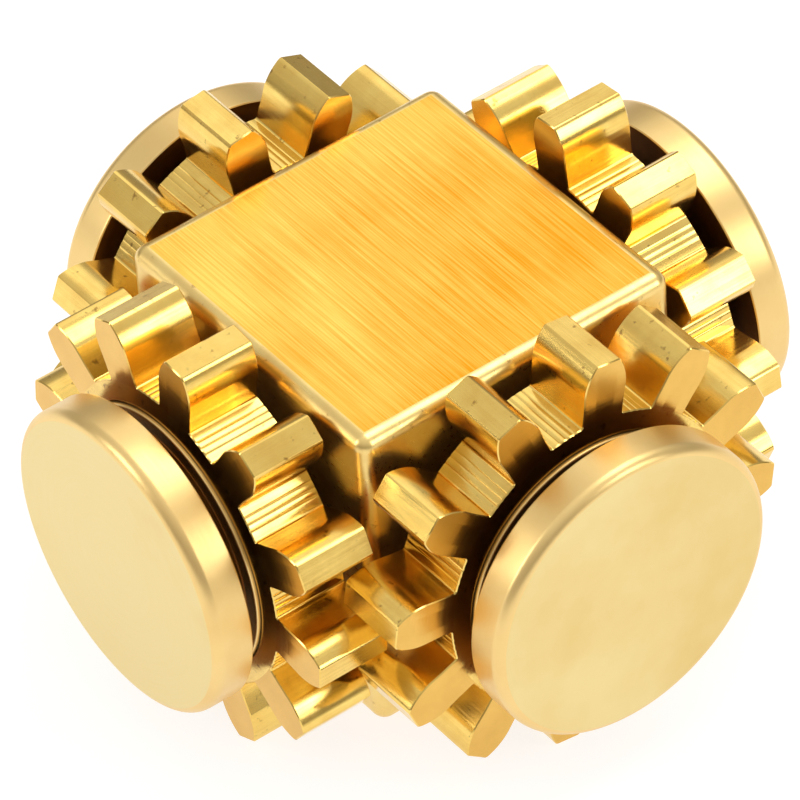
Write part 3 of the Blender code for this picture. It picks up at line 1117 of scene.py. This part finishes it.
@dataclass
class Bearing:
    """A quarter-inch-bore ball bearing: two races, and balls in a crown cage."""

    pattern: SectorPattern
    ball_ring: BallRing
    span: Span = Span.of_node("outer_race_east")
    bore_radius: float = 3.175
    outer_radius: float = 6.35
    ball_radius: float = 0.79375
    balls: int = 10
    land: float = 0.7125
    track_gap: float = 0.04
    edge_round: float = 0.2
    cage_half_wall: float = 0.35
    cage_back: float = 1.09
    cage_reach: float = 0.4
    pocket_gap: float = 0.06
    pocket_edge: float = 0.01
    pocket_steps: int = 12
    track_steps: int = 12
    round_steps: int = 4
    segments: int = 96

    @property
    def circle(self) -> float:
        """Radius of the circle through the ball centres."""
        return (self.bore_radius + self.outer_radius) / 2

    @property
    def middle(self) -> float:
        """Place of the balls along the axis."""
        return (self.span.start + self.span.end) / 2

    def race(self, name: str, back: float, outward: int) -> bpy.types.Object:
        """Make a race with a ball track and rounded back edges.

        Args:
            name: Name of the object.
            back: Radius of the seating face.
            outward: 1 for the outer race, -1 for the inner one.

        Returns:
            The race.
        """
        start, end = self.span.start, self.span.end
        shoulder = self.circle + outward * self.land
        track = self.ball_radius + self.track_gap
        half_angle = math.degrees(math.acos(self.land / track))
        facing = 90.0 * outward
        groove = arc((self.middle, self.circle), track, facing + outward * half_angle,
                     facing - outward * half_angle, self.track_steps)
        rounding = self.edge_round
        inside = back - outward * rounding
        corners = (180.0, 90.0, 0.0) if outward > 0 else (180.0, 270.0, 360.0)
        profile = [
            *arc((start + rounding, inside), rounding, corners[0], corners[1], self.round_steps),
            *arc((end - rounding, inside), rounding, corners[1], corners[2], self.round_steps),
            (end, shoulder),
            *reversed(groove),
            (start, shoulder),
        ]
        race = add_object(name, turned("race", profile, self.segments))
        even_shading(race)
        dress(race, GROUND_STEEL)
        return race

    def cage_sector(self) -> bpy.types.Mesh:
        """Make one pocket of the crown cage with half a prong on either side.

        Returns:
            The open sector mesh.
        """
        pocket = self.ball_radius + self.pocket_gap
        reach = math.asin(pocket / self.circle)
        middle = math.pi / self.balls
        mouth = reach + self.pocket_edge
        columns = [(-middle, self.cage_reach), (-mouth, self.cage_reach)]
        for step in range(self.pocket_steps + 1):
            angle = -reach + 2 * reach * step / self.pocket_steps
            depth = math.sqrt(max(0.0, pocket**2 - (self.circle * math.sin(angle)) ** 2))
            columns.append((angle, -depth))
        columns += [(mouth, self.cage_reach), (middle, self.cage_reach)]
        shape = bmesh.new()
        low, high = self.circle - self.cage_half_wall, self.circle + self.cage_half_wall
        loops = []
        for angle, top in columns:
            loops.append([
                shape.verts.new((
                    self.middle + along, radius * math.cos(angle), radius * math.sin(angle)
                ))
                for along, radius in (
                    (-self.cage_back, low), (-self.cage_back, high), (top, high), (top, low)
                )
            ])
        for one, two in zip(loops, loops[1:]):
            for here, there in ((0, 1), (1, 2), (2, 3), (3, 0)):
                shape.faces.new((one[here], two[here], two[there], one[there]))
        shape.faces.layers.bool.new(FACED)  # the pattern reads it; no face of the cage is marked
        return mesh_in_metres(shape, "cage_sector")

    def build(self, side: Side) -> None:
        """Make one side's races, cage and balls and give them to the frame.

        Args:
            side: Side of the block.
        """
        label = side.label
        outer = self.race("bearing_outer_" + label, self.outer_radius, 1)
        hand_over(outer, side, "outer_race_" + label, label + "_gear")
        inner = self.race("bearing_inner_" + label, self.bore_radius, -1)
        hand_over(inner, side, "inner_race_" + label, "frame")
        cage = add_object("crown_cage_" + label, self.cage_sector())
        self.pattern.apply(cage, {
            "Count": self.balls, "Weld Distance": WELD,
            "Finish": TUMBLED_STEEL.make(), "Face Finish": TUMBLED_STEEL.make(),
        })
        even_shading(cage)
        hand_over(cage, side, "ball_cage_" + label, label + "_balls")
        balls = add_object("balls_" + label, bpy.data.meshes.new("balls"))
        self.ball_ring.apply(balls, {
            "Balls": self.balls, "Circle Radius": self.circle * MM,
            "Ball Radius": self.ball_radius * MM, "Along": self.middle * MM,
            "Finish": LAPPED_STEEL.make(),
        })
        hand_over(balls, side, "ball_cage_" + label, label + "_balls")


@dataclass
class Spacer(TurnedPiece):
    """The washer between the block and the inner race."""

    piece = "washer"
    node = "spacer"
    slot = "spacer_brass"

    span: Span = Span.of_node("spacer_east")
    hole_radius: float = 3.175
    outer_radius: float = 4.3
    edge_break: float = 0.1
    segments: int = 96

    def profile(self) -> list[Point]:
        """Work out the washer's outline, with its four edges broken.

        Returns:
            Points as (along, radius).
        """
        start, end, edge = self.span.start, self.span.end, self.edge_break
        return [
            (start, self.hole_radius + edge),
            (start, self.outer_radius - edge),
            (start + edge, self.outer_radius),
            (end - edge, self.outer_radius),
            (end, self.outer_radius - edge),
            (end, self.hole_radius + edge),
            (end - edge, self.hole_radius),
            (start + edge, self.hole_radius),
        ]


@dataclass
class FingerCap(TurnedPiece):
    """The fixed pad that a finger rests on, with the stem that runs through the bearing."""

    piece = "pad"
    node = "finger_cap"
    slot = "cap_brass"
    finishes = (TURNED_BRASS, SATIN_BRASS, BACK_SHADE_BRASS)
    closed = False

    span: Span = Span.of_node("finger_cap_east")
    radius: float = 8.75
    thickness: float = 2.35
    rim_round: float = 0.65
    back_round: float = 0.15
    neck_start: float = 14.975
    neck_radius: float = 4.3
    neck_fillet: float = 0.3
    stem_radius: float = 2.875
    stem_break: float = 0.2
    hole_radius: float = 1.8
    hole_depth: float = 7.3
    fillet_steps: int = 5
    back_steps: int = 3
    rim_steps: int = 12
    segments: int = 160

    def profile(self) -> list[Point]:
        """Work out the cap's outline from the bottom of its hole round to the pad's centre.

        Returns:
            Points as (along, radius), starting and ending on the axis.
        """
        start, face = self.span.start, self.span.end
        back = face - self.thickness
        rim = self.rim_round
        small = self.back_round
        fillet = self.neck_fillet
        floor = start + self.hole_depth
        return [
            (floor + self.hole_radius / math.sqrt(3), 0.0),
            (floor, self.hole_radius),
            (start, self.hole_radius),
            (start, self.stem_radius - self.stem_break),
            (start + self.stem_break, self.stem_radius),
            (self.neck_start, self.stem_radius),
            (self.neck_start, self.neck_radius),
            *arc((back - fillet, self.neck_radius + fillet), fillet, 270.0, 360.0, self.fillet_steps),
            *arc((back + small, self.radius - small), small, 180.0, 90.0, self.back_steps),
            *arc((face - rim, self.radius - rim), rim, 90.0, 0.0, self.rim_steps),
            (face, 0.0),
        ]

    def make(self, name: str) -> bpy.types.Object:
        """Turn the cap, and dress its face, and its back with painted shade, apart from the rim.

        Args:
            name: Name of the cap.

        Returns:
            The dressed cap.
        """
        cap = super().make(name)
        pad_edge = OUTERMOST * self.span.end * MM
        back_edge = (self.span.end - self.thickness + self.back_round / 4) * MM
        for face in cap.data.polygons:
            if face.center.x > pad_edge:
                face.material_index = 1
            # the back and stem take the dark brown painted shade
            elif face.center.x < back_edge:
                face.material_index = 2
        return cap


@dataclass
class Stud(SidePiece):
    """A headless socket screw with a real thread, which draws the cap onto the block."""

    piece = "socket_screw"
    node = "stud"
    slot = "stud_steel"

    span: Span = Span.of_node("stud_east")
    radius: float = 1.5
    pitch: float = 0.5
    thread_depth: float = 0.27
    lead_in: float = 0.4
    rows_per_pitch: int = 4
    segments: int = 24
    socket_across: float = 1.5
    socket_depth: float = 1.2

    def body(self) -> bpy.types.Mesh:
        """Make the threaded body as a grid whose radius follows the helix.

        Returns:
            A closed mesh along the X axis.
        """
        rows = round(self.span.length / self.pitch * self.rows_per_pitch)
        shape = bmesh.new()
        loops = []
        for row in range(rows + 1):
            along = self.span.length * row / rows
            inward = max(0.0, self.lead_in - min(along, self.span.length - along))
            loop = []
            for step in range(self.segments):
                turn = step / self.segments
                phase = (along / self.pitch - turn) % 1.0
                groove = self.thread_depth * (1.0 - abs(2.0 * phase - 1.0))
                radius = min(self.radius - groove, self.radius - inward)
                angle = math.tau * turn
                loop.append(shape.verts.new((
                    self.span.start + along, radius * math.cos(angle), radius * math.sin(angle)
                )))
            loops.append(loop)
        for one, two in zip(loops, loops[1:]):
            for here in range(self.segments):
                there = (here + 1) % self.segments
                shape.faces.new((one[here], one[there], two[there], two[here]))
        shape.faces.new(loops[0])
        shape.faces.new(loops[-1])
        bmesh.ops.recalc_face_normals(shape, faces=shape.faces)
        return mesh_in_metres(shape, "thread")

    def socket(self) -> bpy.types.Mesh:
        """Make what is cut out for the hex key.

        Returns:
            A closed cutter along the X axis.
        """
        shape = bmesh.new()
        radius = self.socket_across / math.sqrt(3)
        bmesh.ops.create_cone(
            shape, cap_ends=True, segments=6, radius1=radius, radius2=radius,
            depth=2 * self.socket_depth,
            matrix=Matrix.Translation((self.span.end, 0, 0)) @ Matrix.Rotation(math.pi / 2, 4, "Y"),
        )
        return mesh_in_metres(shape, "socket")

    def make(self, name: str) -> bpy.types.Object:
        """Cut the key's socket into the threaded body.

        Args:
            name: Name of the stud.

        Returns:
            The dressed stud.
        """
        stud = add_object(name, self.body())
        cut(stud, self.socket())
        dress(stud, BLACKENED_STEEL)
        return stud


# ---------------------------------------------------------------- studio


@dataclass(frozen=True)
class Softbox:
    """A plain soft light, given by how bright it looks.

    Attributes:
        name: Name of the light.
        place: Its centre, in metres.
        size: Width and height, in metres.
        brightness: Its radiance; 1 shows as white.
    """

    name: str
    place: tuple[float, float, float]
    size: Point
    brightness: float

    def build(self) -> None:
        """Make the light, aimed at the object."""
        light = bpy.data.lights.new(self.name, "AREA")
        light.shape = "RECTANGLE"
        light.size, light.size_y = self.size
        light.energy = self.brightness * math.pi * self.size[0] * self.size[1]
        item = bpy.data.objects.new(self.name, light)
        item.location = self.place
        item.rotation_euler = (-Vector(self.place)).to_track_quat("-Z", "Y").to_euler()
        bpy.context.scene.collection.objects.link(item)


@dataclass
class Studio:
    """A light tent: pale lit floor, soft boxes, a surround that is paler higher up, and the camera."""

    azimuth: float = 55.29
    elevation: float = 42.87
    roll: float = -4.0
    distance: float = 0.4032
    lens: float = 346.8
    sensor: float = 36.0
    shift: Point = (-0.0104, 0.0021)
    clip: Point = (0.01, 20.0)
    floor_size: float = 6.0
    floor_colour: str = "#9C9B99"
    floor_glow: float = 0.80
    floor_roughness: float = 0.7
    floor_specular: float = 0.2
    sky: tuple[tuple[float, str], ...] = (
        (0.0, "#8E8980"), (0.25, "#A8A39A"), (0.45, "#C6C2BB"), (0.62, "#D4D1CC"), (0.95, "#F4F3F1"),
    )
    softboxes: list[Softbox] = field(default_factory=lambda: [
        Softbox("overhead_softbox", (-0.02, 0.21, 0.46), (0.30, 0.24), 2.8),
        Softbox("back_softbox", (-0.42, 0.30, 0.46), (0.40, 0.30), 0.55),
        Softbox("left_softbox", (-0.24, -0.50, 0.26), (0.16, 0.32), 4.4),
        Softbox("right_softbox", (0.52, 0.30, 0.28), (0.16, 0.32), 4.4),
    ])

    def floor(self) -> None:
        """Make the floor, a sheet of white acrylic lit from below, and mark it as stage."""
        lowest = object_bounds()[0][2]
        half = self.floor_size / 2
        mesh = bpy.data.meshes.new("floor")
        corners = [(-half, -half), (half, -half), (half, half), (-half, half)]
        mesh.from_pydata([(x, y, lowest) for x, y in corners], [], [(0, 1, 2, 3)])
        material = bpy.data.materials.new("lit_white_acrylic")
        material.use_nodes = True
        shader = material.node_tree.nodes["Principled BSDF"]
        # the sheet's own colour is a grey, because its glow adds the rest of the white
        shader.inputs["Base Color"].default_value = linear(self.floor_colour)
        shader.inputs["Roughness"].default_value = self.floor_roughness
        shader.inputs["Specular IOR Level"].default_value = self.floor_specular
        shader.inputs["Emission Color"].default_value = linear("#FFFFFF")
        shader.inputs["Emission Strength"].default_value = self.floor_glow
        mesh.materials.append(material)
        floor = add_object("floor", mesh)
        floor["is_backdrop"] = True

    def surround(self) -> None:
        """Make the world: dim at the horizon and brighter overhead."""
        world = bpy.data.worlds.new("studio")
        world.use_nodes = True
        tree = world.node_tree
        direction = add_node(tree, "ShaderNodeTexCoord").outputs["Generated"]
        height = add_node(tree, "ShaderNodeSeparateXYZ", {"Vector": direction}).outputs["Z"]
        ramp = add_node(tree, "ShaderNodeValToRGB", {"Fac": height})
        ramp.color_ramp.elements[0].position = self.sky[0][0]
        ramp.color_ramp.elements[0].color = linear(self.sky[0][1])
        ramp.color_ramp.elements[1].position = self.sky[-1][0]
        ramp.color_ramp.elements[1].color = linear(self.sky[-1][1])
        for place, colour in self.sky[1:-1]:
            ramp.color_ramp.elements.new(place).color = linear(colour)
        background = tree.nodes["Background"]
        tree.links.new(ramp.outputs["Color"], background.inputs["Color"])
        bpy.context.scene.world = world

    def camera(self) -> None:
        """Make the camera at the chosen angle."""
        data = bpy.data.cameras.new("camera")
        data.sensor_width = self.sensor
        data.lens = self.lens
        data.shift_x, data.shift_y = self.shift
        data.clip_start, data.clip_end = self.clip
        camera = bpy.data.objects.new("camera", data)
        turn = Matrix.Rotation(math.radians(self.azimuth), 4, "Z")
        tilt = Matrix.Rotation(math.radians(90.0 - self.elevation), 4, "X")
        lean = Matrix.Rotation(math.radians(self.roll), 4, "Z")
        camera.matrix_world = turn @ tilt @ lean @ Matrix.Translation((0, 0, self.distance))
        bpy.context.scene.collection.objects.link(camera)
        bpy.context.scene.camera = camera

    def build(self) -> None:
        """Make the whole studio."""
        self.floor()
        self.surround()
        for softbox in self.softboxes:
            softbox.build()
        self.camera()
        bpy.context.scene.view_settings.view_transform = "Standard"
        LOG.info("studio: floor, surround, %d soft boxes and camera", len(self.softboxes))


# ---------------------------------------------------------------- main


def main() -> None:
    """Build every piece in order, then the studio."""
    logging.basicConfig(level=logging.INFO, format="%(message)s")
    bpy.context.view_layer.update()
    CentreBlock().build()
    pattern, ball_ring = SectorPattern(), BallRing()
    kinds: list[SidePiece | Bearing] = [
        Gear(pattern), RetainingRing(), Bearing(pattern, ball_ring), Spacer(), FingerCap(), Stud(),
    ]
    for side in Side:
        for kind in kinds:
            kind.build(side)
    Studio().build()


if __name__ == "__main__":
    main()
